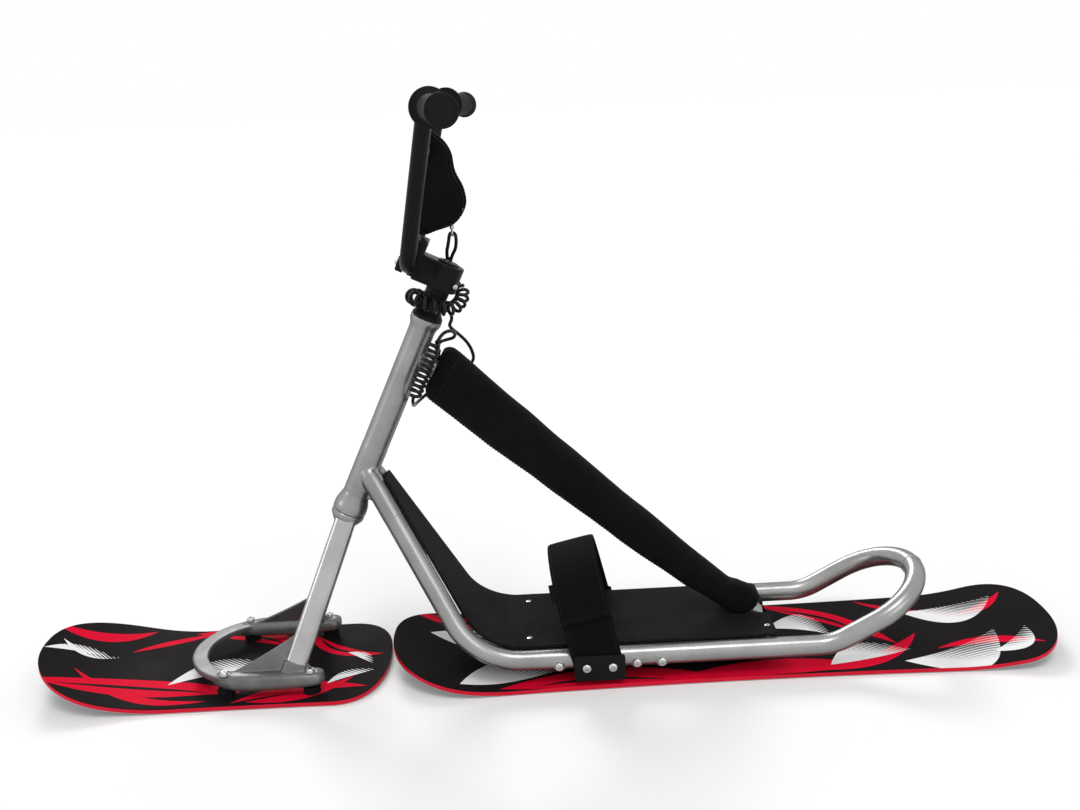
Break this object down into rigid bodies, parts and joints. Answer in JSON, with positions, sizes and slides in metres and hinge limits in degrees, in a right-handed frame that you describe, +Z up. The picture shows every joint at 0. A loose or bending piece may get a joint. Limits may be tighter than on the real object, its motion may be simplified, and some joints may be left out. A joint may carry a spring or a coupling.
{
  "type": "snow scooter",
  "caption": "Stand-on snow scooter: bent twin-tube frame with deck and foot strap on a long rear board, steered fork on a short front board, wide handlebar and curly wrist leash.",
  "frame": {"origin": "on the snow under the middle of the foot strap end of the deck: a point of the rear board's flat underside, on the middle plane", "axes": "+X towards the rear along the boards, +Y to the rider's right, +Z up from the snow"},
  "size_m": [1.5349, 0.6162, 0.8532],
  "materials": {
    "satin_alloy": "satin",
    "cast_alloy": "matt",
    "black_alloy": "satin",
    "bright_steel": "polished",
    "bearing_steel": "satin",
    "grip_deck": "gritty",
    "pad_foam": "matt",
    "webbing": "woven",
    "board_laminate": "gloss, red edge",
    "damper_rubber": "matt",
    "grip_rubber": "matt",
    "black_plastic": "satin",
    "cord_sheath": "satin"
  },
  "bodies": {
    "frame": {"head_tube": "satin_alloy", "top_tube": "satin_alloy", "left_frame_tube": "satin_alloy", "right_frame_tube": "satin_alloy", "front_bridge": "satin_alloy", "rear_bridge": "satin_alloy", "deck_front_panel": "grip_deck", "deck_rear_panel": "grip_deck", "top_tube_pad": "pad_foam", "left_foot_strap": "webbing", "right_foot_strap": "webbing", "left_strap_plate": "black_alloy", "right_strap_plate": "black_alloy", "left_rail_bolt_1": "bright_steel", "left_rail_bolt_2": "bright_steel", "left_rail_bolt_3": "bright_steel", "left_rail_bolt_4": "bright_steel", "left_rail_bolt_5": "bright_steel", "right_rail_bolt_1": "bright_steel", "right_rail_bolt_2": "bright_steel", "right_rail_bolt_3": "bright_steel", "right_rail_bolt_4": "bright_steel", "right_rail_bolt_5": "bright_steel", "rear_board": "board_laminate", "rear_board_damper_front_left": "damper_rubber", "rear_board_damper_front_right": "damper_rubber", "rear_board_damper_rear_left": "damper_rubber", "rear_board_damper_rear_right": "damper_rubber", "upper_bearing": "bearing_steel", "lower_bearing": "bearing_steel", "leash_lower": "cord_sheath"},
    "steering": {"fork_crown": "satin_alloy", "left_fork_leg": "satin_alloy", "right_fork_leg": "satin_alloy", "horseshoe": "cast_alloy", "front_board": "board_laminate", "front_board_damper_front_left": "damper_rubber", "front_board_damper_front_right": "damper_rubber", "front_board_damper_rear_left": "damper_rubber", "front_board_damper_rear_right": "damper_rubber", "front_board_bolt_front_left": "bright_steel", "front_board_bolt_front_right": "bright_steel", "front_board_bolt_rear_left": "bright_steel", "front_board_bolt_rear_right": "bright_steel", "headset_cover": "black_alloy", "headset_spacer": "black_alloy", "stem": "black_alloy", "stem_face_plate": "black_alloy", "stem_pinch_bolt": "bright_steel", "handlebar": "black_alloy", "left_grip": "grip_rubber", "right_grip": "grip_rubber", "left_bar_plug": "black_plastic", "right_bar_plug": "black_plastic", "leash_cuff": "webbing", "leash_swivel": "bright_steel", "leash_loop": "cord_sheath", "leash_upper": "cord_sheath"}
  },
  "joints": [
    {"name": "steering", "type": "hinge", "parent": "frame", "child": "steering", "pos_m": [-0.2722, 0, 0.2542], "axis": [0.4305, 0, 0.9026], "range_deg": [-45, 45]}
  ]
}
